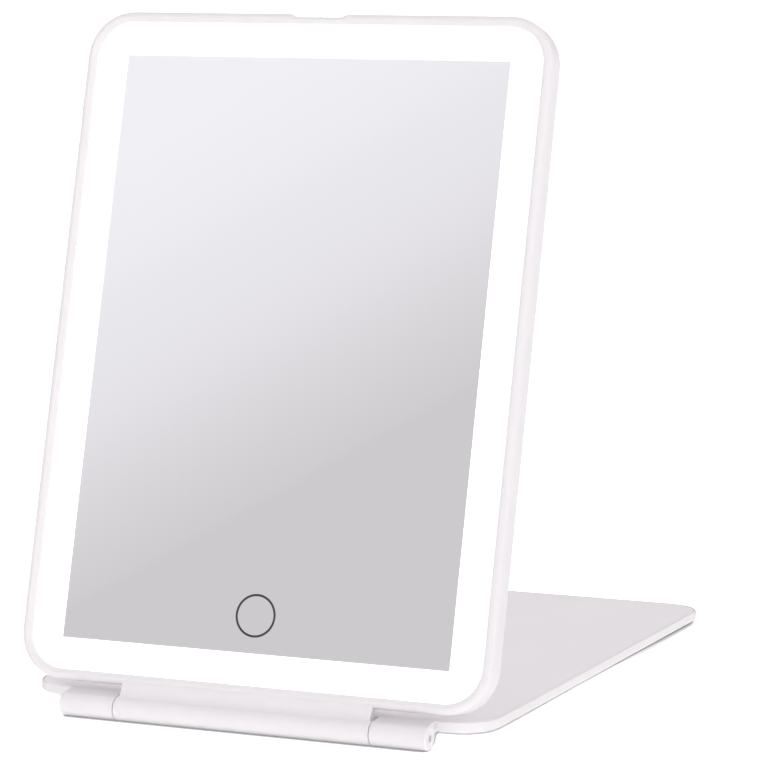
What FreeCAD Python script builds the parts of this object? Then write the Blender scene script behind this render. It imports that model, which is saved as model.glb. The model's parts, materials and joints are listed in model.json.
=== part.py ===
import FreeCAD, Part
import math
import os

# A folding, lighted make-up mirror in the form of a tablet, standing open on its own cover.
# Every piece is drawn in the closed frame, in millimetres: X runs across, Z up from the hinge
# axis, and Y back through the thickness, so the cover lies in front of the panel. At the end
# the panel is leaned back, the cover is swung round behind it, and both are set on the table.

# Panel: the upright half, measured on its outer outline
panel_width = 170.0
panel_height = 229.2
panel_corner = 16.0
panel_thickness = 9.8
panel_above_axis = 7.9
rim_ahead = 0.9
rim_width = 3.4
rim_round = 2.0
rim_lip_bevel = 1.3
back_round = 1.6
parting_depth = 4.4

# Finger notch in the panel's top edge, with a small pip in its middle
notch_width = 15.0
notch_ramp = 3.2
notch_depth = 1.0
pip_radius = 0.4
pip_height = 0.35

# Mirror, diffuser and the touch mark
face_recess = 2.0
band_width = 11.65
low_band_width = 10.7
mirror_thickness = 1.3
mirror_fit = 0.1
mirror_ledge = 5.0
diffuser_thickness = 1.8
diffuser_fit = 0.1
diffuser_ledge = 2.0
touch_height = 12.5
touch_radius = 7.2
touch_stroke = 0.75
touch_inlay = 0.15
electrode_thickness = 0.2
electrode_relief = 0.5
contact_radius = 4.0

# Rear shell and the seam where it meets the frame
shell_wall = 1.6
shell_floor = 1.4
shelf_width = 2.6
shelf_height = 1.4
tongue_thickness = 1.0
tongue_fit = 0.1
tongue_share = 0.45
fence_wall = 0.8
fence_height = 1.6
fence_fit = 0.4

# Light tray, its flexible circuit and the light-emitting chips
tray_floor = 0.6
tray_wall = 0.8
tray_fit = 0.2
tray_tuck = 0.2
tray_headroom = 0.15
flex_gap = 0.5
flex_width = 5.0
flex_thickness = 0.3
flex_tail_width = 6.0
chip_length = 3.0
chip_width = 1.4
chip_height = 0.7
chip_pitch = 10.4

# Control board and what it carries
board_height = 18.0
board_overhang = 5.4
board_thickness = 0.8
board_end_gap = 0.8
board_fit = 0.3
stake_radius = 0.9
stake_head_radius = 1.6
stake_head_height = 0.5
stake_fit = 0.1
stake_edge = 3.0
driver_width = 5.0
driver_height = 1.2
coil_radius = 3.0
coil_height = 2.2
connector_width = 8.0
connector_length = 4.5
indicator_length = 1.6
indicator_width = 0.8
indicator_height = 0.5

# Charging inlet and charge light in the panel's side
socket_width = 8.94
socket_height = 3.2
socket_length = 7.3
socket_wall = 0.3
socket_back_wall = 0.8
socket_setback = 0.3
socket_sink = 0.2
socket_fit = 0.15
tongue_plate_width = 6.6
tongue_plate_thickness = 0.7
tongue_plate_length = 4.6
light_pipe_radius = 0.8
light_pipe_length = 2.6
light_pipe_spacing = 7.0

# Battery and its leads
battery_width = 50.0
battery_height = 84.0
battery_thickness = 4.0
battery_round = 1.2
battery_gap = 20.0
tape_thickness = 0.2
tape_border = 4.0
lead_radius = 0.6
lead_spacing = 1.8
lead_shift = 20.0
plug_width = 6.0
plug_length = 4.0
plug_height = 2.6

# Hinge: one barrel in three lengths, two pins and two friction bushes
barrel_radius = 4.0
barrel_length = 132.4
middle_length = 92.0
barrel_gap = 0.3
barrel_end_bevel = 0.5
barrel_split_bevel = 0.2
web_width = 90.4
web_root = 1.2
web_behind_axis = 2.6
web_foot_share = 0.45
web_waist_share = 0.125
web_head_share = 0.12
pin_radius = 1.2
pin_recess = 1.4
pin_reach = 18.0
pin_bevel = 0.2
pin_press = 0.02
pin_running = 0.05
bush_wall = 1.1
bush_press = 0.02

# Cover: the plate that protects the glass and becomes the foot of the stand
cover_inset = 2.0
cover_corner = 14.0
cover_thickness = 3.5
cover_lip_bevel = 0.3
cover_heel_bevel = 0.7
cover_relief = 1.0
closing_gap = 0.3
skin_border = 0.6
skin_depth = 0.6
skin_thickness = 0.5
skin_gap = 0.25
liner_thickness = 0.4
liner_corner = 6.0
liner_fit = 0.1
arm_lap = 2.0
arm_heel = 0.4
pad_radius = 4.0
pad_proud = 1.35
pad_sink = 0.8
pad_fit = 0.05

# Closing magnets
magnet_length = 12.0
magnet_width = 1.4
magnet_depth = 2.4
magnet_spread = 45.0
magnet_skin = 0.7
magnet_fit = 0.05
cover_magnet_width = 3.0
cover_magnet_depth = 1.7
cover_magnet_margin = 0.6

# Stance of the open mirror, in degrees, and the overrun of every cut
lean_angle = 15.3
quarter_turn = 90.0
overrun = 1.0
same_plane = 0.001

across = FreeCAD.Vector(1, 0, 0)
inward = FreeCAD.Vector(0, 1, 0)
upward = FreeCAD.Vector(0, 0, 1)
origin = FreeCAD.Vector(0, 0, 0)


def point(x, y, z):
    return FreeCAD.Vector(x, y, z)


def behind_rim(depth):
    """The Y of a plane that lies a depth behind the rim's front face."""
    return depth - rim_ahead


# Planes of the panel's build-up, from front to back
face_y = behind_rim(face_recess)
glass_back_y = face_y + mirror_thickness
diffuser_back_y = face_y + diffuser_thickness
parting_y = behind_rim(parting_depth)
back_y = behind_rim(panel_thickness)
floor_y = back_y - shell_floor
shelf_y = floor_y - shelf_height
tongue_y = parting_y + tongue_share * (shelf_y - parting_y)
tray_y = shelf_y - tray_floor
flex_y = tray_y - flex_thickness
board_y = floor_y - board_thickness

# Heights up the panel from the hinge axis
panel_top = panel_above_axis + panel_height
mirror_border = rim_width + band_width
mirror_low = panel_above_axis + rim_width + low_band_width
mirror_high = panel_top - mirror_border
mirror_width = panel_width - 2 * mirror_border
touch_z = mirror_low + touch_height
board_low = touch_z - board_height / 2
board_high = touch_z + board_height / 2
battery_low = board_high + battery_gap
panel_side = panel_width / 2
board_left = shell_wall + board_end_gap - panel_side
board_right = contact_radius + board_overhang

# Hinge and cover
middle_end = middle_length / 2
barrel_end = barrel_length / 2
knuckle_start = middle_end + barrel_gap
pin_start = middle_end - pin_reach
bush_bore = pin_radius + pin_running
bush_radius = bush_bore + bush_wall
cover_inner_y = -(rim_ahead + closing_gap)
cover_outer_y = cover_inner_y - cover_thickness
pad_x = mirror_width / 2 - pad_radius
pad_z = (mirror_high + panel_top - rim_width) / 2

# The charging inlet sits sunk in the board's end, its back just above the shell's floor
socket_y = floor_y - socket_sink - socket_height / 2
socket_left = socket_setback - panel_side
socket_right = socket_left + socket_length
light_pipe_z = touch_z + light_pipe_spacing


def outline(width, low, high, corner):
    """An upright rectangle with round corners, centred across the panel."""
    return {"width": width, "low": low, "high": high, "corner": corner}


def inset(shape, amount):
    """The outline drawn in by an amount all round."""
    corner = max(shape["corner"] - amount, 0)
    return outline(shape["width"] - 2 * amount, shape["low"] + amount, shape["high"] - amount, corner)


panel_outline = outline(panel_width, panel_above_axis, panel_top, panel_corner)
mirror_outline = outline(mirror_width, mirror_low, mirror_high, 0)
cover_width = panel_width - 2 * cover_inset
cover_start = barrel_radius + cover_relief
cover_outline = outline(cover_width, cover_start, panel_top, cover_corner)


def box(x_span, y_span, z_span):
    """A block between two values on each axis."""
    size = [high - low for low, high in (x_span, y_span, z_span)]
    return Part.makeBox(size[0], size[1], size[2], point(x_span[0], y_span[0], z_span[0]))


def slab(shape, front, back):
    """The solid of an outline between two depths."""
    half = shape["width"] / 2
    solid = box((-half, half), (front, back), (shape["low"], shape["high"]))
    if shape["corner"] > 0:
        uprights = [edge for edge in solid.Edges if edge.BoundBox.YLength > (back - front) / 2]
        solid = solid.makeFillet(shape["corner"], uprights)
    return solid


def ring(outer, inner, front, back):
    """The band between two outlines."""
    return slab(outer, front, back).cut(slab(inner, front - overrun, back + overrun))


def edges_on(solid, depth):
    """The edges that lie in one plane across the thickness."""
    return [edge for edge in solid.Edges
            if max(abs(edge.BoundBox.YMin - depth), abs(edge.BoundBox.YMax - depth)) < same_plane]


def disc(radius, front, back, x, z):
    """A round piece whose axis runs through the thickness."""
    return Part.makeCylinder(radius, back - front, point(x, front, z), inward)


def rod(radius, start, end):
    """A round piece along the hinge axis."""
    return Part.makeCylinder(radius, end - start, point(start, 0, 0), across)


def rim_edges(solid, x):
    """The round edges at one end of a piece on the hinge axis."""
    return [edge for edge in solid.Edges
            if max(abs(edge.BoundBox.XMin - x), abs(edge.BoundBox.XMax - x)) < same_plane]


def mirrored(solid):
    """The same piece on the other side of the middle."""
    return solid.mirror(origin, across)


def notch_tool():
    """The finger notch: a flat floor that rises to the top edge in a smooth double curve."""
    floor_half = notch_width / 2
    mouth_half = floor_half + notch_ramp
    radius = (notch_ramp ** 2 + notch_depth ** 2) / (4 * notch_depth)
    turn = math.asin(notch_ramp / 2 / radius) / 2
    swing = radius * math.sin(turn)
    drop = radius - radius * math.cos(turn)
    low = panel_top - notch_depth
    front = behind_rim(0) - overrun
    crest = [point(mouth_half, front, panel_top), point(mouth_half - swing, front, panel_top - drop)]
    middle = point((mouth_half + floor_half) / 2, front, (panel_top + low) / 2)
    valley = [point(floor_half + swing, front, low + drop), point(floor_half, front, low)]
    right = [Part.Arc(crest[0], crest[1], middle).toShape(),
             Part.Arc(middle, valley[0], valley[1]).toShape()]
    left = [mirrored(edge) for edge in right]
    above = panel_top + overrun
    corners = [point(mouth_half, front, panel_top), point(mouth_half, front, above),
               point(-mouth_half, front, above), point(-mouth_half, front, panel_top)]
    lines = [Part.makeLine(first, second) for first, second in zip(corners, corners[1:])]
    lines.append(Part.makeLine(point(-floor_half, front, low), point(floor_half, front, low)))
    outline_wire = Part.Wire(Part.__sortEdges__(right + left + lines))
    return Part.Face(outline_wire).extrude(inward * (panel_thickness + 2 * overrun))


def panel_magnet_place(side, grow):
    """The space of one bar magnet in the top of the rim, grown by a fit."""
    middle = side * magnet_spread
    half = magnet_length / 2 + grow
    top = panel_top - magnet_skin + grow
    return box((middle - half, middle + half), (parting_y - magnet_depth - grow, parting_y),
               (top - magnet_width - 2 * grow, top))


def hinge_web():
    """The waisted strip that carries the panel on the middle of the barrel."""
    top = panel_above_axis + web_root
    foot = barrel_radius * web_foot_share
    foot_top = math.sqrt(barrel_radius ** 2 - foot ** 2)
    head = barrel_radius * web_head_share
    start = -web_width / 2
    profile = [point(start, web_behind_axis, top), point(start, web_behind_axis, 0),
               point(start, -foot, 0), point(start, -foot, foot_top)]
    lines = [Part.makeLine(first, second) for first, second in zip(profile, profile[1:])]
    waist = point(start, -barrel_radius * web_waist_share, (foot_top + top) / 2)
    lines.append(Part.Arc(profile[-1], waist, point(start, -head, top)).toShape())
    lines.append(Part.makeLine(point(start, -head, top), profile[0]))
    return Part.Face(Part.Wire(lines)).extrude(across * web_width)


def front_frame():
    """The moulded rim with its diffuser seat, seam tongue, hinge web and middle barrel."""
    front = behind_rim(0)
    body = slab(panel_outline, front, parting_y).cut(notch_tool())
    body = body.makeFillet(rim_round, edges_on(body, front))
    pocket_outline = inset(panel_outline, rim_width)
    body = body.cut(slab(pocket_outline, front - overrun, diffuser_back_y))
    lip_back = front + rim_lip_bevel
    lip = slab(inset(panel_outline, rim_width - rim_lip_bevel), front - overrun, lip_back)
    body = body.cut(lip.makeChamfer(rim_lip_bevel, edges_on(lip, lip_back)))
    window = inset(pocket_outline, diffuser_ledge)
    body = body.cut(slab(window, front, parting_y + overrun))
    tongue_outer = inset(panel_outline, shell_wall + tongue_fit)
    tongue = ring(tongue_outer, inset(tongue_outer, tongue_thickness), parting_y, tongue_y)
    for side in (-1, 1):
        middle = side * magnet_spread
        half = magnet_length / 2 + tongue_thickness
        tongue = tongue.cut(box((middle - half, middle + half), (parting_y, tongue_y),
                                (panel_top - panel_corner, panel_top)))
    body = body.fuse(tongue)
    barrel = rod(barrel_radius, -middle_end, middle_end)
    split_edges = rim_edges(barrel, middle_end) + rim_edges(barrel, -middle_end)
    barrel = barrel.makeChamfer(barrel_split_bevel, split_edges)
    body = body.fuse(hinge_web().fuse(barrel))
    pip_base = panel_top - notch_depth
    pip_y = front + rim_round + pip_radius
    body = body.fuse(Part.makeCylinder(pip_radius, pip_height, point(0, pip_y, pip_base), upward))
    bore = rod(bush_radius + bush_press, pin_start, middle_end + overrun)
    body = body.cut(bore).cut(mirrored(bore))
    for side in (-1, 1):
        body = body.cut(panel_magnet_place(side, magnet_fit))
    return body.cut(socket_way()).removeSplitter()


def stadium(width, height, start, end, y, z):
    """A bar along X with a flat-sided round-ended section, for the charging inlet."""
    bar = box((start, end), (y - height / 2, y + height / 2), (z - width / 2, z + width / 2))
    long_edges = [edge for edge in bar.Edges if edge.BoundBox.XLength > (end - start) / 2]
    return bar.makeFillet(height / 2 - same_plane, long_edges)


def socket_way():
    """The opening for the charging inlet through the side wall."""
    return stadium(socket_width + 2 * socket_fit, socket_height + 2 * socket_fit,
                   -panel_side - overrun, socket_right + socket_fit, socket_y, touch_z)


def stake_places():
    """The board's three fixing points."""
    right = board_right - stake_edge
    middle = (board_left + board_right) / 2
    low = board_low + stake_edge
    high = board_high - stake_edge
    return [(right, low), (right, high), (middle, high)]


def rear_shell():
    """The tray-shaped back of the panel with its shelf, battery fence and board stakes."""
    body = slab(panel_outline, parting_y, back_y)
    body = body.makeFillet(back_round, edges_on(body, back_y)).cut(notch_tool())
    body = body.cut(slab(inset(panel_outline, shell_wall), parting_y - overrun, shelf_y))
    body = body.cut(slab(inset(panel_outline, shell_wall + shelf_width), parting_y, floor_y))
    body = body.cut(box((shell_wall - panel_side, board_right), (parting_y, floor_y),
                        (board_low - board_fit, board_high + board_fit)))
    battery_half = battery_width / 2 + fence_fit
    fence_outer = outline(2 * (battery_half + fence_wall), battery_low - fence_fit - fence_wall,
                          battery_low + battery_height + fence_fit + fence_wall, battery_round)
    fence = ring(fence_outer, inset(fence_outer, fence_wall), floor_y - fence_height, floor_y)
    fence = fence.cut(box((-lead_shift - plug_width, plug_width - lead_shift),
                          (floor_y - fence_height, floor_y), (board_high, battery_low)))
    body = body.fuse(fence)
    for x, z in stake_places():
        body = body.fuse(disc(stake_radius, board_y, floor_y, x, z))
        body = body.fuse(disc(stake_head_radius, board_y - stake_head_height, board_y, x, z))
    body = body.cut(socket_way())
    pipe_hole = Part.makeCylinder(light_pipe_radius + socket_fit, shell_wall + 2 * overrun,
                                  point(-panel_side - overrun, socket_y, light_pipe_z), across)
    return body.cut(pipe_hole).removeSplitter()


def light_diffuser():
    """The opal tray that glows round the mirror and carries the glass on a ledge."""
    body = slab(inset(panel_outline, rim_width + diffuser_fit), face_y, diffuser_back_y)
    body = body.cut(slab(inset(mirror_outline, -mirror_fit), face_y - overrun, glass_back_y))
    body = body.cut(slab(inset(mirror_outline, mirror_ledge), face_y, diffuser_back_y + overrun))
    relief = touch_radius + electrode_relief
    return body.cut(disc(relief, glass_back_y, diffuser_back_y + overrun, 0, touch_z))


def touch_mark(deep):
    """The thin circle printed in the glass."""
    outer = disc(touch_radius, face_y, face_y + deep, 0, touch_z)
    inner_radius = touch_radius - touch_stroke
    return outer.cut(disc(inner_radius, face_y - overrun, face_y + deep + overrun, 0, touch_z))


def mirror_glass():
    """The silvered glass plate, cut square."""
    return slab(mirror_outline, face_y, glass_back_y).cut(touch_mark(touch_inlay))


def touch_electrode():
    """The foil disc behind the touch mark."""
    return disc(touch_radius - touch_stroke, glass_back_y, glass_back_y + electrode_thickness, 0, touch_z)


def touch_contact():
    """The conductive foam column between the board and the foil."""
    return disc(contact_radius, glass_back_y + electrode_thickness, board_y, 0, touch_z)


def light_tray():
    """The white reflector tray that holds the light behind the band."""
    outer = inset(panel_outline, shell_wall + tongue_fit + tongue_thickness + tray_fit)
    wall_outer = inset(mirror_outline, tray_tuck)
    wall_inner = inset(wall_outer, tray_wall)
    tray = ring(outer, wall_inner, tray_y, shelf_y)
    tray = tray.fuse(ring(wall_outer, wall_inner, diffuser_back_y + tray_headroom, tray_y))
    tail_half = flex_tail_width / 2 + tray_fit
    middle = tail_middle()
    tray = tray.cut(box((middle - tail_half, middle + tail_half), (diffuser_back_y, tray_y),
                        (wall_outer["low"] - overrun, wall_inner["low"] + overrun)))
    return tray.cut(socket_way()).removeSplitter()


def tail_middle():
    """Where the light circuit's tail crosses to its connector, beside the touch contact."""
    return -contact_radius - flex_tail_width


def flex_outline():
    """The light circuit's outer edge, which stays clear of the charging inlet."""
    return inset(panel_outline, socket_setback + socket_length + flex_gap)


def led_flex():
    """The flexible circuit that carries the chips, with a tail to the control board."""
    outer = flex_outline()
    body = ring(outer, inset(outer, flex_width), flex_y, tray_y)
    middle = tail_middle()
    half = flex_tail_width / 2
    tail = box((middle - half, middle + half), (flex_y, tray_y),
               (outer["low"] + flex_width / 2, board_low + connector_length))
    return body.fuse(tail).removeSplitter()


def led_chips():
    """The light-emitting chips, spaced evenly along the straight sides."""
    outer = flex_outline()
    line = inset(outer, flex_width / 2)
    chips = []

    def chip(x, z, x_size, z_size):
        chips.append(box((x - x_size / 2, x + x_size / 2), (flex_y - chip_height, flex_y),
                         (z - z_size / 2, z + z_size / 2)))

    run = outer["width"] - 2 * outer["corner"]
    count = int(run / chip_pitch)
    for index in range(count + 1):
        x = (index - count / 2) * chip_pitch
        chip(x, line["low"], chip_length, chip_width)
        chip(x, line["high"], chip_length, chip_width)
    run = outer["high"] - outer["low"] - 2 * outer["corner"]
    count = int(run / chip_pitch)
    middle = (outer["high"] + outer["low"]) / 2
    for index in range(count + 1):
        z = middle + (index - count / 2) * chip_pitch
        chip(-line["width"] / 2, z, chip_width, chip_length)
        chip(line["width"] / 2, z, chip_width, chip_length)
    return Part.makeCompound(chips)


def control_board():
    """The charging and dimming board, notched for the inlet and held by the stakes."""
    board = box((board_left, board_right), (board_y, floor_y), (board_low, board_high))
    board = board.cut(socket_way())
    for x, z in stake_places():
        board = board.cut(disc(stake_radius + stake_fit, board_y - overrun, floor_y + overrun, x, z))
    return board


def board_parts():
    """Driver chip, coil, connector for the light circuit and charge indicator."""
    middle = (socket_right - contact_radius) / 2
    half = driver_width / 2
    driver = box((middle - half, middle + half), (board_y - driver_height, board_y),
                 (touch_z - half, touch_z + half))
    coil = disc(coil_radius, board_y - coil_height, board_y, middle + driver_width + coil_radius, touch_z)
    half = connector_width / 2
    connector = box((tail_middle() - half, tail_middle() + half), (tray_y, board_y),
                    (board_low, board_low + connector_length))
    pipe_end = light_pipe_length - panel_side
    half = indicator_length / 2
    indicator = box((pipe_end, pipe_end + indicator_width), (board_y - indicator_height, board_y),
                    (light_pipe_z - half, light_pipe_z + half))
    return Part.makeCompound([driver, coil, connector, indicator])


def usb_socket():
    """The metal shell of the charging inlet, open to the side."""
    shell = stadium(socket_width, socket_height, socket_left, socket_right, socket_y, touch_z)
    mouth = stadium(socket_width - 2 * socket_wall, socket_height - 2 * socket_wall,
                    socket_left - overrun, socket_right - socket_back_wall, socket_y, touch_z)
    return shell.cut(mouth)


def usb_tongue():
    """The contact tongue inside the inlet."""
    back = socket_right - socket_back_wall
    half = tongue_plate_width / 2
    thick = tongue_plate_thickness / 2
    return box((back - tongue_plate_length, back), (socket_y - thick, socket_y + thick),
               (touch_z - half, touch_z + half))


def charge_light():
    """The clear pipe that shows the charge indicator beside the inlet."""
    return Part.makeCylinder(light_pipe_radius, light_pipe_length,
                             point(-panel_side, socket_y, light_pipe_z), across)


def battery_cell():
    """The flat pouch cell."""
    half = battery_width / 2
    front = floor_y - tape_thickness - battery_thickness
    cell = box((-half, half), (front, front + battery_thickness),
               (battery_low, battery_low + battery_height))
    long_edges = [edge for edge in cell.Edges if edge.BoundBox.ZLength > battery_height / 2]
    return cell.makeFillet(battery_round, long_edges)


def battery_tape():
    """The double-sided tape under the cell."""
    half = battery_width / 2 - tape_border
    return box((-half, half), (floor_y - tape_thickness, floor_y),
               (battery_low + tape_border, battery_low + battery_height - tape_border))


def battery_leads():
    """The two wires from the cell to its plug."""
    y = board_y - plug_height / 2
    wires = []
    for side in (-1, 1):
        foot = point(side * lead_spacing / 2 - lead_shift, y, board_high)
        wires.append(Part.makeCylinder(lead_radius, battery_gap, foot, upward))
    return Part.makeCompound(wires)


def battery_plug():
    """The plug where the leads meet the board."""
    half = plug_width / 2
    return box((-lead_shift - half, half - lead_shift), (board_y - plug_height, board_y),
               (board_high - plug_length, board_high))


def panel_magnets():
    """Two bar magnets in the top of the rim."""
    return Part.makeCompound([panel_magnet_place(side, 0) for side in (-1, 1)])


def friction_bush():
    """The tight-fitting bush that makes the panel stay where it is put."""
    bore = rod(bush_bore, pin_start - overrun, middle_end + overrun)
    return rod(bush_radius, pin_start, middle_end).cut(bore)


def hinge_pin():
    """The steel pin that is pressed into a knuckle and turns in the bush."""
    end = barrel_end - pin_recess
    pin = rod(pin_radius, pin_start, end)
    return pin.makeChamfer(pin_bevel, rim_edges(pin, end))


def knuckle():
    """One end of the barrel with the arm that joins it to the cover."""
    solid = rod(barrel_radius, knuckle_start, barrel_end)
    solid = solid.makeChamfer(barrel_end_bevel, rim_edges(solid, barrel_end))
    solid = solid.makeChamfer(barrel_split_bevel, rim_edges(solid, knuckle_start))
    lap = cover_start + arm_lap
    start = knuckle_start + barrel_split_bevel
    end = barrel_end - barrel_end_bevel
    corners = [point(start, -barrel_radius, 0), point(start, cover_outer_y, cover_start),
               point(start, cover_outer_y, lap), point(start, cover_inner_y, lap),
               point(start, -arm_heel, barrel_radius - arm_heel), point(start, -arm_heel, 0)]
    arm = Part.Face(Part.makePolygon(corners + corners[:1])).extrude(across * (end - start))
    return solid.fuse(arm)


def pad_places():
    return [(-pad_x, pad_z), (pad_x, pad_z)]


def cover_magnet_place(side, grow):
    """The space of one magnet under the cover's skin, grown by a fit."""
    middle = side * magnet_spread
    half = magnet_length / 2 + grow
    top = panel_top - skin_border - skin_gap - cover_magnet_margin + grow
    floor = cover_outer_y + skin_depth
    return box((middle - half, middle + half), (floor, floor + cover_magnet_depth + grow),
               (top - cover_magnet_width - 2 * grow, top))


def cover_frame():
    """The moulded plate with its bevelled edges, its two knuckles and the seats on both faces."""
    body = slab(cover_outline, cover_outer_y, cover_inner_y)
    body = body.makeChamfer(cover_lip_bevel, edges_on(body, cover_outer_y))
    body = body.makeChamfer(cover_heel_bevel, edges_on(body, cover_inner_y))
    body = body.fuse(knuckle()).fuse(mirrored(knuckle()))
    skin_seat = inset(cover_outline, skin_border)
    body = body.cut(slab(skin_seat, cover_outer_y - overrun, cover_outer_y + skin_depth))
    liner_seat = outline(mirror_width + 2 * liner_fit, mirror_low - liner_fit, mirror_high + liner_fit,
                         liner_corner + liner_fit)
    body = body.cut(slab(liner_seat, cover_inner_y - liner_thickness, cover_inner_y + overrun))
    for x, z in pad_places():
        body = body.cut(disc(pad_radius + pad_fit, cover_inner_y - pad_sink, cover_inner_y + overrun, x, z))
    for side in (-1, 1):
        body = body.cut(cover_magnet_place(side, magnet_fit))
    bore = rod(pin_radius + pin_press, knuckle_start - overrun, barrel_end + overrun)
    return body.cut(bore).cut(mirrored(bore)).removeSplitter()


def cover_skin():
    """The inlaid outer sheet, a hair below the edge with a fine joint round it."""
    seat = cover_outer_y + skin_depth
    return slab(inset(cover_outline, skin_border + skin_gap), seat - skin_thickness, seat)


def cover_liner():
    """The soft sheet that faces the glass when the mirror is shut."""
    sheet = outline(mirror_width, mirror_low, mirror_high, liner_corner)
    return slab(sheet, cover_inner_y - liner_thickness, cover_inner_y)


def bumper_pads():
    """Two silicone buttons: they keep the cover off the glass and grip the table."""
    base = cover_inner_y - pad_sink
    top = cover_inner_y + pad_proud
    return Part.makeCompound([disc(pad_radius, base, top, x, z) for x, z in pad_places()])


def cover_magnets():
    """The two magnets under the skin that draw the panel shut."""
    return Part.makeCompound([cover_magnet_place(side, 0) for side in (-1, 1)])


# Stance: the barrel lies on the table and the cover slopes down until its pads touch it
pad_foot_y = cover_inner_y + pad_proud
pad_foot_z = pad_z + pad_radius
slope = math.asin(barrel_radius / math.hypot(pad_foot_z, pad_foot_y)) + math.atan2(-pad_foot_y, pad_foot_z)
far_edge = panel_top * math.cos(slope) - (cover_outer_y + cover_lip_bevel) * math.sin(slope)
axis_place = point(0, barrel_radius - (barrel_radius + far_edge) / 2, barrel_radius)

panel_pieces = {
    "front_frame": front_frame(),
    "rear_shell": rear_shell(),
    "light_diffuser": light_diffuser(),
    "mirror_glass": mirror_glass(),
    "touch_ring": touch_mark(touch_inlay),
    "touch_electrode": touch_electrode(),
    "touch_contact": touch_contact(),
    "light_tray": light_tray(),
    "led_flex": led_flex(),
    "led_chips": led_chips(),
    "control_board": control_board(),
    "board_parts": board_parts(),
    "usb_socket": usb_socket(),
    "usb_tongue": usb_tongue(),
    "charge_light": charge_light(),
    "battery_cell": battery_cell(),
    "battery_tape": battery_tape(),
    "battery_leads": battery_leads(),
    "battery_plug": battery_plug(),
    "panel_magnets": panel_magnets(),
    "friction_bush_right": friction_bush(),
    "friction_bush_left": mirrored(friction_bush()),
}
cover_pieces = {
    "cover_frame": cover_frame(),
    "cover_skin": cover_skin(),
    "cover_liner": cover_liner(),
    "bumper_pads": bumper_pads(),
    "cover_magnets": cover_magnets(),
    "hinge_pin_right": hinge_pin(),
    "hinge_pin_left": mirrored(hinge_pin()),
}

os.makedirs("parts", exist_ok=True)
cover_turn = quarter_turn + math.degrees(slope)
for pieces, turn in ((panel_pieces, lean_angle), (cover_pieces, cover_turn)):
    for name, shape in pieces.items():
        shape.rotate(origin, across, -turn)
        shape.translate(axis_place)
        shape.exportStep("parts/" + name + ".step")
        print(name, len(shape.Solids), shape.isValid(), round(shape.Volume, 1))
print("slope", math.degrees(slope), "axis", axis_place)
print("shut at", lean_angle + 3 * quarter_turn - math.degrees(slope))
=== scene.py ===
import json
import math
import bpy
from mathutils import Matrix, Vector


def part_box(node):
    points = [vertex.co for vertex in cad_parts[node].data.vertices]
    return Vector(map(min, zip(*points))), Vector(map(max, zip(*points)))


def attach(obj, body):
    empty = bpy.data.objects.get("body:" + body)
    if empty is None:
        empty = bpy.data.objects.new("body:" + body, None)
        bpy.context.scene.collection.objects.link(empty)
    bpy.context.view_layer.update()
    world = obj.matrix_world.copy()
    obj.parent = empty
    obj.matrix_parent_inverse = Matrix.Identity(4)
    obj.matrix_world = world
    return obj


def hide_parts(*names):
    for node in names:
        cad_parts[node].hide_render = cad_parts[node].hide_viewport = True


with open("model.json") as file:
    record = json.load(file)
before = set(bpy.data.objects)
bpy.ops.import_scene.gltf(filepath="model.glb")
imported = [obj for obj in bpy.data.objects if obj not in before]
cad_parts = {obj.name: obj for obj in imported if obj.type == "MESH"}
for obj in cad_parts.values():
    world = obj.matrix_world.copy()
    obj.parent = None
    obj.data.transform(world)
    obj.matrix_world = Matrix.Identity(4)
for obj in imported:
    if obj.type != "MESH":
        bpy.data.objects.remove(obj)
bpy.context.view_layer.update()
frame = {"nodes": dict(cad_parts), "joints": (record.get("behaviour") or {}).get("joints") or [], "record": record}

# Rear shell: the tray-shaped back half of the panel, injection-moulded in white ABS. Its satin back is
# spark-textured so that finger marks don't show, and it carries the battery and the control board.
mm = 0.001
white_abs = (0.715, 0.685, 0.703)
soft_edge = 0.12 * mm
edge_steps = 2
weld = 0.002 * mm
crease_angle = math.radians(35)
cloud_size = 30 * mm
cloud_detail = 3
grain_detail = 4
sheen_drift = 0.15


def shader_of(material):
    """The main shader of a finish."""
    return material.node_tree.nodes["Principled BSDF"]


def finish(name, colour, drift, roughness, grain_size, grain_height):
    """A node finish: colour and roughness drift softly over the piece, and a fine grain lifts it."""
    material = bpy.data.materials.new(name)
    material.use_nodes = True
    tree = material.node_tree
    shader = shader_of(material)
    place = tree.nodes.new("ShaderNodeTexCoord")
    cloud = tree.nodes.new("ShaderNodeTexNoise")
    cloud.inputs["Scale"].default_value = 1 / cloud_size
    cloud.inputs["Detail"].default_value = cloud_detail
    tint = tree.nodes.new("ShaderNodeValToRGB")
    for stop, sign in zip(tint.color_ramp.elements, (-1, 1)):
        stop.color = [min(channel * (1 + sign * drift), 1) for channel in colour] + [1]
    sheen = tree.nodes.new("ShaderNodeMapRange")
    sheen.inputs["To Min"].default_value = roughness * (1 - sheen_drift)
    sheen.inputs["To Max"].default_value = roughness * (1 + sheen_drift)
    grain = tree.nodes.new("ShaderNodeTexNoise")
    grain.inputs["Scale"].default_value = 1 / grain_size
    grain.inputs["Detail"].default_value = grain_detail
    bump = tree.nodes.new("ShaderNodeBump")
    bump.inputs["Distance"].default_value = grain_height
    bump.inputs["Strength"].default_value = 1
    link = tree.links.new
    link(place.outputs["Object"], cloud.inputs["Vector"])
    link(place.outputs["Object"], grain.inputs["Vector"])
    link(cloud.outputs["Fac"], tint.inputs["Fac"])
    link(tint.outputs["Color"], shader.inputs["Base Color"])
    link(cloud.outputs["Fac"], sheen.inputs["Value"])
    link(sheen.outputs["Result"], shader.inputs["Roughness"])
    link(grain.outputs["Fac"], bump.inputs["Height"])
    link(bump.outputs["Normal"], shader.inputs["Normal"])
    return material


def dress(piece, *materials):
    """Puts finishes on a piece or a CAD node."""
    piece.data.materials.clear()
    for material in materials:
        piece.data.materials.append(material)


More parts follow.
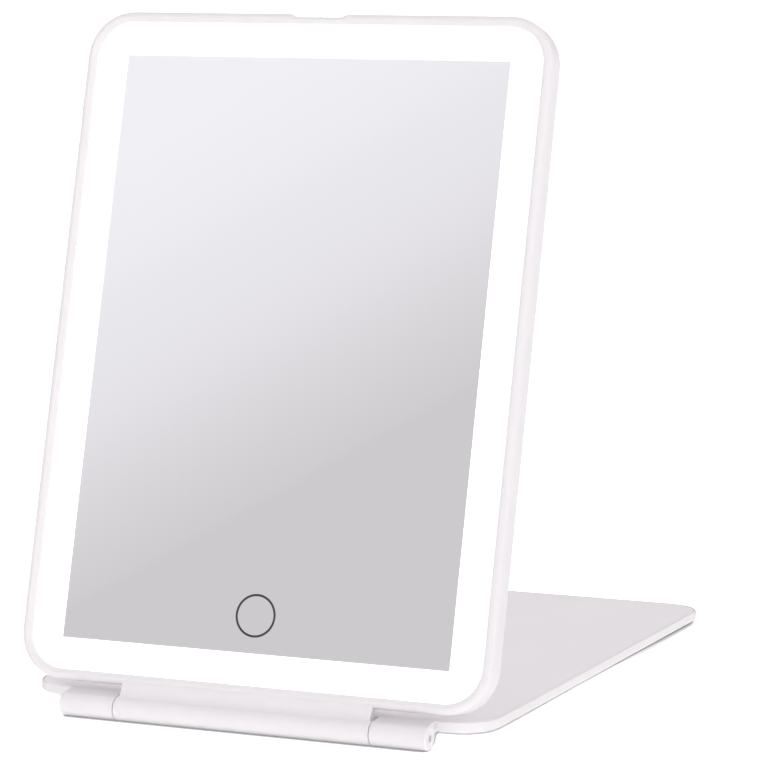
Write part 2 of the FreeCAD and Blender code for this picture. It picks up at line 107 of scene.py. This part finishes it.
def moulded_copy(node, body, edge):
    """A copy of a CAD piece with its triangles joined and its sharp edges softened."""
    bpy.ops.object.select_all(action="DESELECT")
    source = frame["nodes"][node]
    piece = bpy.data.objects.new(node + "_shape", source.data.copy())
    bpy.context.scene.collection.objects.link(piece)
    bpy.context.view_layer.objects.active = piece
    piece.select_set(True)
    bpy.ops.mesh.customdata_custom_splitnormals_clear()
    bpy.ops.object.mode_set(mode="EDIT")
    bpy.ops.mesh.select_all(action="SELECT")
    bpy.ops.mesh.remove_doubles(threshold=weld)
    bpy.ops.object.mode_set(mode="OBJECT")
    bpy.ops.object.modifier_add(type="BEVEL")
    bevel = piece.modifiers[-1]
    bevel.width = edge
    bevel.segments = edge_steps
    bevel.limit_method = "ANGLE"
    bevel.angle_limit = crease_angle
    bpy.ops.object.modifier_apply(modifier=bevel.name)
    bpy.ops.object.shade_smooth_by_angle(angle=crease_angle)
    bpy.ops.object.modifier_add(type="WEIGHTED_NORMAL")
    weighted = piece.modifiers[-1]
    weighted.keep_sharp = True
    bpy.ops.object.modifier_apply(modifier=weighted.name)
    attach(piece, body)
    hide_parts(node)
    return piece


rear_shell = moulded_copy("rear_shell", "mirror_panel", soft_edge)
dress(rear_shell, finish("shell_plastic", white_abs, drift=0.01, roughness=0.38,
                         grain_size=0.25 * mm, grain_height=0.006 * mm))

# Battery tape: a strip of double-sided foam tape that holds the cell on the shell's floor. The paper
# liner has left a faint pattern of creases in it.
tape_white = (0.86, 0.83, 0.74)
dress(frame["nodes"]["battery_tape"], finish("foam_tape", tape_white, drift=0.05, roughness=0.75,
                                             grain_size=0.3 * mm, grain_height=0.03 * mm))

# Battery cell: a flat lithium pouch, in a laminate of aluminium foil and plastic film. The film is
# heat-sealed round the edges and wrinkles a little over the wound layers.
foil_grey = (0.62, 0.63, 0.65)
pouch_edge = 0.5 * mm


def metal(name, colour, **look):
    """A finish of bare or plated metal."""
    material = finish(name, colour, **look)
    shader_of(material).inputs["Metallic"].default_value = 1
    return material


battery_cell = moulded_copy("battery_cell", "mirror_panel", pouch_edge)
dress(battery_cell, metal("pouch_foil", foil_grey, drift=0.06, roughness=0.36,
                          grain_size=4 * mm, grain_height=0.15 * mm))

# Battery leads and plug: two tinned copper wires in silicone, black and red, crimped into a nylon plug
# that pushes on to the control board.
lead_black = (0.025, 0.025, 0.028)
lead_red = (0.5, 0.03, 0.03)
nylon_ivory = (0.83, 0.8, 0.7)
lead_edge = 0.05 * mm
plug_edge = 0.2 * mm


def dress_in_turn(piece, *materials):
    """Gives each separate solid of a piece its own finish, in order from left to right."""
    dress(piece, *materials)
    corners = piece.data.vertices
    spans = []
    for face in piece.data.polygons:
        across = [corners[corner].co.x for corner in face.vertices]
        spans.append((min(across), max(across), face))
    spans.sort(key=lambda span: span[0])
    turn = 0
    reach = spans[0][1]
    for start, end, face in spans:
        if start > reach:
            turn += 1
        reach = max(reach, end)
        face.material_index = turn


battery_leads = moulded_copy("battery_leads", "mirror_panel", lead_edge)
black_lead = finish("black_lead", lead_black, drift=0.1, roughness=0.45,
                    grain_size=0.2 * mm, grain_height=0.01 * mm)
red_lead = finish("red_lead", lead_red, drift=0.05, roughness=0.45,
                  grain_size=0.2 * mm, grain_height=0.01 * mm)
dress_in_turn(battery_leads, black_lead, red_lead)
battery_plug = moulded_copy("battery_plug", "mirror_panel", plug_edge)
plug_nylon = finish("plug_nylon", nylon_ivory, drift=0.02, roughness=0.5,
                    grain_size=0.2 * mm, grain_height=0.008 * mm)
dress(battery_plug, plug_nylon)

# Control board: glass-fibre laminate with a green solder mask over etched copper traces. It charges the
# cell and dims the light, and sits on stakes moulded in the rear shell.
mask_green = (0.02, 0.16, 0.07)
trace_green = (0.05, 0.3, 0.13)
trace_run = 3.2 * mm
trace_gap = 0.9 * mm
trace_share = 0.16
rear_axis = Vector(frame["record"]["mounts"][0]["axis"])
lean = math.atan2(-rear_axis.z, rear_axis.y)


def overlay(material, mask, colour, metallic):
    """Shows another colour over a finish wherever the mask is white."""
    tree = material.node_tree
    shader = shader_of(material)
    mix = tree.nodes.new("ShaderNodeMix")
    mix.data_type = "RGBA"
    factor, below, above = mix.inputs[0], mix.inputs[6], mix.inputs[7]
    above.default_value = colour + (1,)
    tree.links.new(mask, factor)
    tree.links.new(shader.inputs["Base Color"].links[0].from_socket, below)
    tree.links.new(mix.outputs[2], shader.inputs["Base Color"])
    if metallic:
        tree.links.new(mask, shader.inputs["Metallic"])


def own_place(material):
    """Object coordinates as they are."""
    return material.node_tree.nodes["Texture Coordinate"].outputs["Object"]


def panel_place(material):
    """Object coordinates turned so that Y runs up the leaning panel and Z comes out of its face."""
    tree = material.node_tree
    aim = tree.nodes.new("ShaderNodeMapping")
    aim.inputs["Rotation"].default_value = (lean - math.pi / 2, 0, 0)
    tree.links.new(own_place(material), aim.inputs["Vector"])
    return aim.outputs["Vector"]


board_mask = finish("solder_mask", mask_green, drift=0.06, roughness=0.35,
                    grain_size=0.4 * mm, grain_height=0.004 * mm)
tree = board_mask.node_tree
traces = tree.nodes.new("ShaderNodeTexBrick")
traces.inputs["Scale"].default_value = 1
traces.inputs["Brick Width"].default_value = trace_run
traces.inputs["Row Height"].default_value = trace_gap
traces.inputs["Mortar Size"].default_value = trace_gap * trace_share
tree.links.new(panel_place(board_mask), traces.inputs["Vector"])
overlay(board_mask, traces.outputs["Fac"], trace_green, metallic=False)
dress(frame["nodes"]["control_board"], board_mask)

# Board parts: from left to right a clear charge indicator, the driver chip in black epoxy, a wound
# power coil under a ferrite cap, and a nylon connector for the light circuit. All are soldered on.
lens_green = (0.55, 0.75, 0.5)
epoxy_black = (0.02, 0.02, 0.022)
ferrite_grey = (0.09, 0.09, 0.1)
part_edge = 0.1 * mm
board_parts = moulded_copy("board_parts", "mirror_panel", part_edge)
indicator_lens = finish("indicator_lens", lens_green, drift=0.03, roughness=0.2,
                        grain_size=0.3 * mm, grain_height=0.002 * mm)
chip_epoxy = finish("chip_epoxy", epoxy_black, drift=0.1, roughness=0.5,
                    grain_size=0.08 * mm, grain_height=0.006 * mm)
coil_ferrite = finish("coil_ferrite", ferrite_grey, drift=0.1, roughness=0.6,
                      grain_size=0.15 * mm, grain_height=0.012 * mm)
dress_in_turn(board_parts, indicator_lens, chip_epoxy, coil_ferrite, plug_nylon)

# Charging inlet: a drawn steel shell, bright plated, round a black tongue with rows of gold-plated
# contacts. The shell is soldered to the board and its mouth stands in the panel's left side.
plated_grey = (0.66, 0.65, 0.64)
tongue_black = (0.018, 0.018, 0.02)
contact_gold = (0.83, 0.6, 0.25)
contact_pitch = 0.5 * mm
contact_share = 0.5
draw_pitch = 0.12 * mm
draw_depth = 0.004 * mm
shell_edge = 0.08 * mm
wave_step = math.pi / 10


def bands(material, place, axis, pitch):
    """Soft bands, one every pitch along an axis of the given coordinates."""
    tree = material.node_tree
    wave = tree.nodes.new("ShaderNodeTexWave")
    wave.bands_direction = axis
    wave.inputs["Scale"].default_value = wave_step / pitch
    tree.links.new(place, wave.inputs["Vector"])
    return wave.outputs["Fac"]


def score(material, place, axis, pitch, depth):
    """Cuts fine parallel lines into a finish, under its grain."""
    tree = material.node_tree
    grain = tree.nodes["Bump"]
    lines = tree.nodes.new("ShaderNodeBump")
    lines.inputs["Distance"].default_value = depth
    tree.links.new(bands(material, place, axis, pitch), lines.inputs["Height"])
    for earlier in grain.inputs["Normal"].links:
        tree.links.new(earlier.from_socket, lines.inputs["Normal"])
    tree.links.new(lines.outputs["Normal"], grain.inputs["Normal"])


usb_socket = moulded_copy("usb_socket", "mirror_panel", shell_edge)
plated_shell = metal("plated_shell", plated_grey, drift=0.04, roughness=0.22,
                     grain_size=0.3 * mm, grain_height=0.002 * mm)
score(plated_shell, panel_place(plated_shell), "Y", draw_pitch, draw_depth)
dress(usb_socket, plated_shell)
contacts = finish("tongue_contacts", tongue_black, drift=0.08, roughness=0.4,
                  grain_size=0.2 * mm, grain_height=0.004 * mm)
tree = contacts.node_tree
rows = tree.nodes.new("ShaderNodeValToRGB")
rows.color_ramp.interpolation = "CONSTANT"
rows.color_ramp.elements[1].position = contact_share
tree.links.new(bands(contacts, panel_place(contacts), "Y", contact_pitch), rows.inputs["Fac"])
overlay(contacts, rows.outputs["Color"], contact_gold, metallic=True)
dress(frame["nodes"]["usb_tongue"], contacts)

# Charge light: a clear acrylic light pipe beside the inlet, pressed in a hole in the shell, which
# carries the indicator's light to the side.
pipe_clear = (0.9, 0.93, 0.92)
pipe_edge = 0.1 * mm
pipe_clarity = 0.7
charge_light = moulded_copy("charge_light", "mirror_panel", pipe_edge)
pipe_acrylic = finish("pipe_acrylic", pipe_clear, drift=0.01, roughness=0.18,
                      grain_size=0.3 * mm, grain_height=0.002 * mm)
shader_of(pipe_acrylic).inputs["Transmission Weight"].default_value = pipe_clarity
dress(charge_light, pipe_acrylic)

# Touch contact: a plug of soft foam wrapped in silver-grey conductive cloth, pressed between the board
# and the foil behind the glass.
cloth_silver = (0.3, 0.3, 0.32)
cloth_pitch = 0.25 * mm
cloth_depth = 0.03 * mm
foam_edge = 0.6 * mm
touch_contact = moulded_copy("touch_contact", "mirror_panel", foam_edge)
conductive_cloth = finish("conductive_cloth", cloth_silver, drift=0.06, roughness=0.5,
                          grain_size=0.3 * mm, grain_height=0.01 * mm)
for axis in ("X", "Y", "Z"):
    score(conductive_cloth, panel_place(conductive_cloth), axis, cloth_pitch, cloth_depth)
dress(touch_contact, conductive_cloth)

# Light tray: a shallow ring of matte white polyester, pressed from sheet, that throws the light
# forward. It lies on the shelf of the rear shell.
reflector_white = (0.93, 0.93, 0.925)
dress(frame["nodes"]["light_tray"], finish("reflector", reflector_white, drift=0.01, roughness=0.7,
                                           grain_size=0.4 * mm, grain_height=0.01 * mm))

# Light circuit: a flexible strip of polyimide under a white solder mask, stuck in the tray, with a tail
# to the board. Its copper runs show as faint ridges.
flex_white = (0.85, 0.84, 0.79)
ridge_pitch = 1.6 * mm
ridge_depth = 0.02 * mm
flex_mask = finish("flex_mask", flex_white, drift=0.02, roughness=0.42,
                   grain_size=0.5 * mm, grain_height=0.006 * mm)
for axis in ("X", "Y"):
    score(flex_mask, panel_place(flex_mask), axis, ridge_pitch, ridge_depth)
dress(frame["nodes"]["led_flex"], flex_mask)

# Light chips: white moulded cups, each with a sunk window of yellow phosphor over the diode, soldered
# to the flexible circuit.
cup_white = (0.88, 0.88, 0.87)
phosphor_yellow = (0.86, 0.66, 0.16)
phosphor_light = (1, 0.93, 0.8)
phosphor_glow = 1.5
cup_edge = 0.05 * mm
cup_wall = 0.22 * mm
cup_depth = 0.12 * mm
facing = -rear_axis
flat_angle = math.radians(1)


def shine(material, colour, strength):
    """Makes a finish give light of its own."""
    shader_of(material).inputs["Emission Color"].default_value = colour + (1,)
    shader_of(material).inputs["Emission Strength"].default_value = strength


led_chips = moulded_copy("led_chips", "mirror_panel", cup_edge)
phosphor = finish("phosphor", phosphor_yellow, drift=0.04, roughness=0.4,
                  grain_size=0.1 * mm, grain_height=0.008 * mm)
shine(phosphor, phosphor_light, phosphor_glow)
chip_cup = finish("chip_cup", cup_white, drift=0.01, roughness=0.45,
                  grain_size=0.15 * mm, grain_height=0.004 * mm)
dress(led_chips, chip_cup, phosphor)
bpy.ops.object.mode_set(mode="EDIT")
bpy.ops.mesh.select_mode(type="FACE")
bpy.ops.mesh.select_all(action="SELECT")
bpy.ops.mesh.dissolve_limited(angle_limit=flat_angle)
bpy.ops.mesh.select_all(action="DESELECT")
bpy.ops.object.mode_set(mode="OBJECT")
for face in led_chips.data.polygons:
    face.select = face.normal.angle(facing) < flat_angle
bpy.ops.object.mode_set(mode="EDIT")
bpy.ops.mesh.inset(thickness=cup_wall, depth=-cup_depth, use_individual=True)
bpy.ops.object.mode_set(mode="OBJECT")
for face in led_chips.data.polygons:
    face.material_index = int(face.select)

# Friction bushes: turned sleeves of acetal pressed in the middle of the barrel. They grip the hinge pins
# so that the panel stays where it is put.
acetal_ivory = (0.82, 0.81, 0.76)
turning_pitch = 0.2 * mm
turning_depth = 0.006 * mm
acetal = finish("acetal", acetal_ivory, drift=0.02, roughness=0.4,
                grain_size=0.3 * mm, grain_height=0.004 * mm)
score(acetal, own_place(acetal), "X", turning_pitch, turning_depth)
for node in ("friction_bush_left", "friction_bush_right"):
    dress(frame["nodes"][node], acetal)

# Magnets: small sintered blocks with a bright nickel plating, two in the frame's top and two in the
# cover, which hold the mirror shut.
nickel_grey = (0.7, 0.68, 0.64)
nickel = metal("nickel", nickel_grey, drift=0.05, roughness=0.2,
               grain_size=0.2 * mm, grain_height=0.003 * mm)
for node in ("panel_magnets", "cover_magnets"):
    dress(frame["nodes"][node], nickel)

# Front frame: the glossy white rim round the light, moulded in one piece with the hinge web and the
# middle of the barrel. Its tongue sits inside the rear shell, and a fine seam shows between the two.
front_frame = moulded_copy("front_frame", "mirror_panel", soft_edge)
dress(front_frame, finish("frame_plastic", white_abs, drift=0.01, roughness=0.33,
                          grain_size=0.35 * mm, grain_height=0.002 * mm))

# Light diffuser: an opal acrylic tray that glows round the glass, lit from behind by the chips. It lies
# on the frame's ledge and its face is flush with the glass.
opal_white = (0.95, 0.95, 0.95)
opal_light = (1, 1, 1)
opal_glow = 0.4
opal = finish("opal_acrylic", opal_white, drift=0.005, roughness=0.35,
              grain_size=0.3 * mm, grain_height=0.001 * mm)
shine(opal, opal_light, opal_glow)
dress(frame["nodes"]["light_diffuser"], opal)

# Touch electrode: a disc of rolled copper foil stuck behind the touch mark, which senses the finger
# through the glass.
foil_copper = (0.72, 0.36, 0.22)
roll_pitch = 0.3 * mm
roll_depth = 0.004 * mm
copper = metal("copper_foil", foil_copper, drift=0.06, roughness=0.34,
               grain_size=0.4 * mm, grain_height=0.006 * mm)
score(copper, panel_place(copper), "Y", roll_pitch, roll_depth)
dress(frame["nodes"]["touch_electrode"], copper)

# Mirror glass: silvered float glass, cut square and held by tape on the diffuser's ledge. The touch mark
# is a thin circle of dark grey ink in a fine groove of the glass.
silver_tint = (0.93, 0.93, 0.94)
print_grey = (0.03, 0.03, 0.033)
silvered_glass = metal("silvered_glass", silver_tint, drift=0.003, roughness=0.012,
                       grain_size=20 * mm, grain_height=0)
dress(frame["nodes"]["mirror_glass"], silvered_glass)
dress(frame["nodes"]["touch_ring"], finish("printed_line", print_grey, drift=0.1, roughness=0.5,
                                           grain_size=0.2 * mm, grain_height=0))

# Cover frame: the white moulded plate that shuts over the glass and stands behind as the foot, with
# bevelled edges and the two end knuckles of the barrel.
cover_frame = moulded_copy("cover_frame", "stand_cover", soft_edge)
dress(cover_frame, finish("cover_plastic", white_abs, drift=0.01, roughness=0.35,
                          grain_size=0.3 * mm, grain_height=0.003 * mm))

# Hinge pins: turned steel rods, bright plated, pressed in the end knuckles and running in the bushes.
# Their bevelled ends sit a little inside the barrel's ends.
pin_steel = (0.56, 0.55, 0.54)
pin_edge = 0.05 * mm
for side in ("left", "right"):
    pin = moulded_copy("hinge_pin_" + side, "stand_cover", pin_edge)
    steel = metal("pin_steel_" + side, pin_steel, drift=0.05, roughness=0.24,
                  grain_size=0.2 * mm, grain_height=0.002 * mm)
    score(steel, own_place(steel), "X", turning_pitch, turning_depth)
    dress(pin, steel)

# Cover liner: a sheet of brushed microfibre with a soft nap, bonded in a recess of the cover's inner
# face so that the glass isn't scratched when the mirror is shut.
liner_grey = (0.72, 0.7, 0.73)
liner_edge = 0.12 * mm
nap_weight = 0.5
nap_roughness = 0.45
weave_pitch = 0.4 * mm
weave_depth = 0.03 * mm
cover_liner = moulded_copy("cover_liner", "stand_cover", liner_edge)
nap = finish("microfibre", liner_grey, drift=0.04, roughness=0.8,
             grain_size=0.25 * mm, grain_height=0.08 * mm)
shader_of(nap).inputs["Sheen Weight"].default_value = nap_weight
shader_of(nap).inputs["Sheen Roughness"].default_value = nap_roughness
for axis in ("X", "Y"):
    score(nap, own_place(nap), axis, weave_pitch, weave_depth)
dress(cover_liner, nap)

# Bumper pads: two buttons of milky silicone glued in sockets of the cover. They keep the cover off the
# glass when it is shut, and grip the table when it stands open.
silicone_grey = (0.78, 0.78, 0.79)
pad_edge = 0.45 * mm
pad_milkiness = 0.3
bumper_pads = moulded_copy("bumper_pads", "stand_cover", pad_edge)
silicone = finish("silicone", silicone_grey, drift=0.02, roughness=0.55,
                  grain_size=0.3 * mm, grain_height=0.008 * mm)
shader_of(silicone).inputs["Subsurface Weight"].default_value = pad_milkiness
dress(bumper_pads, silicone)

# Cover skin: a thin lilac-grey sheet of coated plastic with a fine matte grain, laid into the cover's
# outer face with a hairline joint all round.
lilac = (0.8, 0.765, 0.787)
dress(frame["nodes"]["cover_skin"], finish("lilac_skin", lilac, drift=0.015, roughness=0.6,
                                           grain_size=0.5 * mm, grain_height=0.01 * mm))

# Floor: a wide, plain white sheet under the mirror, which runs out of sight behind it. Its colour is painted
# darker where something stands close over it, a painted contact shadow, and shiny surfaces see it as even white.
floor_size = 30.0
floor_tone = (0.55, 0.55, 0.553)
floor_light = (1, 1, 1)
floor_glow = 0.1
floor_in_glass = 0.8
painted_shadow_tone = (0.1, 0.1, 0.103)
shadow_reach = 4 * mm
shadow_full = 0.2
shadow_gone = 0.65
bpy.ops.object.select_all(action="DESELECT")
bpy.ops.mesh.primitive_plane_add(size=floor_size, location=(0, 0, 0))
floor = bpy.context.object
floor.name = "floor"
floor_white = finish("floor_white", floor_tone, drift=0.002, roughness=0.9, grain_size=5 * mm, grain_height=0)
shine(floor_white, floor_light, floor_glow)
floor_shader = shader_of(floor_white)
floor_shader.inputs["Specular IOR Level"].default_value = 0
tree = floor_white.node_tree
shelter = tree.nodes.new("ShaderNodeAmbientOcclusion")
shelter.inputs["Distance"].default_value = shadow_reach
painted_shadow_fade = tree.nodes.new("ShaderNodeMapRange")
painted_shadow_fade.inputs["From Min"].default_value = shadow_full
painted_shadow_fade.inputs["From Max"].default_value = shadow_gone
painted_shadow_fade.inputs["To Min"].default_value = 1
painted_shadow_fade.inputs["To Max"].default_value = 0
tree.links.new(shelter.outputs["AO"], painted_shadow_fade.inputs["Value"])
# Painted contact shadow: the floor's colour is darkened towards the dark shadow tone wherever something stands
# within reach above it.
overlay(floor_white, painted_shadow_fade.outputs["Result"], painted_shadow_tone, metallic=False)
dim = tree.nodes.new("ShaderNodeEmission")
dim.inputs["Strength"].default_value = floor_in_glass


def choose(tree, ray, otherwise, chosen):
    """One shader for one kind of ray and another for the rest."""
    path = tree.nodes.new("ShaderNodeLightPath")
    mix = tree.nodes.new("ShaderNodeMixShader")
    tree.links.new(path.outputs[ray], mix.inputs[0])
    tree.links.new(otherwise, mix.inputs[1])
    tree.links.new(chosen, mix.inputs[2])
    return mix.outputs["Shader"]


either = choose(tree, "Is Glossy Ray", floor_shader.outputs["BSDF"], dim.outputs["Emission"])
tree.links.new(either, tree.nodes["Material Output"].inputs["Surface"])
dress(floor, floor_white)

# Studio sky: a soft dome of light, a little stronger round the sides than overhead. Shiny surfaces see
# grey walls under a bright ceiling instead, and the camera sees a plain white background.
horizon_light = 0.68
overhead_light = 0.64
gloss_horizon = 0.58
gloss_overhead = 1.0
backdrop_light = 1
sky = bpy.data.worlds.new("studio_sky")
bpy.context.scene.world = sky
sky.use_nodes = True
sky_tree = sky.node_tree
way = sky_tree.nodes.new("ShaderNodeTexCoord")
split = sky_tree.nodes.new("ShaderNodeSeparateXYZ")
sky_tree.links.new(way.outputs["Generated"], split.inputs["Vector"])


def dome(low, high):
    """A background whose light climbs from the horizon to the top of the dome."""
    climb = sky_tree.nodes.new("ShaderNodeMapRange")
    climb.inputs["To Min"].default_value = low
    climb.inputs["To Max"].default_value = high
    shade = sky_tree.nodes.new("ShaderNodeBackground")
    shade.inputs["Color"].default_value = (1, 1, 1, 1)
    sky_tree.links.new(split.outputs["Z"], climb.inputs["Value"])
    sky_tree.links.new(climb.outputs["Result"], shade.inputs["Strength"])
    return shade.outputs["Background"]


lit = dome(horizon_light, overhead_light)
mirrored = dome(gloss_horizon, gloss_overhead)
lit = choose(sky_tree, "Is Glossy Ray", lit, mirrored)
seen = choose(sky_tree, "Is Camera Ray", lit, dome(backdrop_light, backdrop_light))
sky_tree.links.new(seen, sky_tree.nodes["World Output"].inputs["Surface"])

# Fill light: a broad lamp high on the right, so far off and so soft that it throws no shadow. It lifts
# the rim, the barrel and the cover, and shiny surfaces don't mirror it.
fill_strength = 1.2
fill_azimuth = math.radians(45)
fill_elevation = math.radians(50)


def far_lamp(name, strength, azimuth, elevation):
    """A lamp so far off that its light comes from one side, given as angles round and up."""
    lamp = bpy.data.lights.new(name, "SUN")
    lamp.energy = strength
    stand = bpy.data.objects.new(name, lamp)
    bpy.context.scene.collection.objects.link(stand)
    stand.rotation_euler = (math.pi / 2 - elevation, 0, azimuth)
    return stand


fill = far_lamp("fill_light", fill_strength, fill_azimuth, fill_elevation)
fill.data.use_shadow = False
fill.visible_glossy = False

# Camera: the photograph's view, from the right and a little above, through a long lens. It looks at a
# point above the hinge's line, and the picture keeps plain tones.
picture_height = 770
sensor = 36
focal_pixels = 3472.0
distance = 1.1028
azimuth = math.radians(22.89)
elevation = math.radians(7.69)
target_x = 0.05015
target_z = 0.11749
hinge = Vector(frame["joints"][0]["pos_m"])
target = Vector((target_x, hinge.y, target_z))
back = Vector((math.sin(azimuth) * math.cos(elevation), -math.cos(azimuth) * math.cos(elevation),
               math.sin(elevation)))
lens = bpy.data.cameras.new("camera")
lens.sensor_width = sensor
lens.lens = focal_pixels * sensor / picture_height
camera = bpy.data.objects.new("camera", lens)
bpy.context.scene.collection.objects.link(camera)
camera.location = target + back * distance
camera.rotation_euler = (-back).to_track_quat("-Z", "Y").to_euler()
bpy.context.scene.camera = camera
bpy.context.scene.view_settings.view_transform = "Standard"

# Floor wash: a lamp beside the camera that whitens the floor alone, until it melts into the background.
# Only the cover shades it, which leaves a thin dark line along the cover's edge.
wash_strength = 20
wash_size = math.radians(1.5)
wash_azimuth = math.radians(19.4)
wash_elevation = math.radians(15.2)
wash = far_lamp("floor_wash", wash_strength, wash_azimuth, wash_elevation)
wash.data.angle = wash_size
washed = bpy.data.collections.new("washed")
washed.objects.link(floor)
wash.light_linking.receiver_collection = washed
shading = bpy.data.collections.new("shading")
shading.objects.link(cover_frame)
wash.light_linking.blocker_collection = shading

# Reflector card: a large pale card that the glass mirrors to the camera, bright at its upper left and
# grey at its lower right. Only shiny surfaces see it, so it casts no light of its own. Its slope of
# tones runs between two places that are given in picture pixels from the card's middle.
card_size = 2.0
card_beyond = 1.6
card_turn = math.radians(-61)
card_start = -381
card_end = 75
card_stops = ((0, (0.88, 0.88, 0.905)), (0.18, (0.864, 0.862, 0.894)), (0.37, (0.822, 0.82, 0.846)),
              (0.645, (0.753, 0.732, 0.76)), (0.92, (0.628, 0.608, 0.622)), (1, (0.61, 0.591, 0.604)))
card_strength = 1 / silver_tint[0]
pixel = (distance + card_beyond) / focal_pixels
glass_low, glass_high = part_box("mirror_glass")
glass_middle = (Vector(glass_low) + Vector(glass_high)) / 2
camera_turn = camera.rotation_euler.to_matrix()


def mirrored_way(way):
    """A direction as the glass turns it."""
    return way - 2 * way.dot(facing) * facing


card_right = mirrored_way(camera_turn @ Vector((1, 0, 0)))
card_up = mirrored_way(camera_turn @ Vector((0, 1, 0)))
card_behind = target - back * card_beyond
bpy.ops.object.select_all(action="DESELECT")
bpy.ops.mesh.primitive_plane_add(size=card_size)
card = bpy.context.object
card.name = "reflector_card"
card.matrix_world = Matrix((card_right, card_up, card_right.cross(card_up))).transposed().to_4x4()
card.location = glass_middle + mirrored_way(card_behind - glass_middle)
card.visible_camera = False
card.visible_diffuse = False
card.visible_shadow = False
card.visible_transmission = False
card_paper = bpy.data.materials.new("card_paper")
card_paper.use_nodes = True
tree = card_paper.node_tree
tree.nodes.remove(shader_of(card_paper))
place = tree.nodes.new("ShaderNodeTexCoord")
aim = tree.nodes.new("ShaderNodeMapping")
aim.vector_type = "TEXTURE"
aim.inputs["Rotation"].default_value = (0, 0, card_turn)
aim.inputs["Scale"].default_value = ((card_end - card_start) * pixel, 1, 1)
aim.inputs["Location"].default_value = (math.cos(card_turn) * card_start * pixel,
                                        math.sin(card_turn) * card_start * pixel, 0)
slide = tree.nodes.new("ShaderNodeTexGradient")
shades = tree.nodes.new("ShaderNodeValToRGB")
shades.color_ramp.interpolation = "CARDINAL"
for share, shade in card_stops[1:-1]:
    shades.color_ramp.elements.new(share)
for stop, (share, shade) in zip(shades.color_ramp.elements, card_stops):
    stop.position = share
    stop.color = shade + (1,)
glow = tree.nodes.new("ShaderNodeEmission")
glow.inputs["Strength"].default_value = card_strength
tree.links.new(place.outputs["Object"], aim.inputs["Vector"])
tree.links.new(aim.outputs["Vector"], slide.inputs["Vector"])
tree.links.new(slide.outputs["Fac"], shades.inputs["Fac"])
tree.links.new(shades.outputs["Color"], glow.inputs["Color"])
tree.links.new(glow.outputs["Emission"], tree.nodes["Material Output"].inputs["Surface"])
dress(card, card_paper)
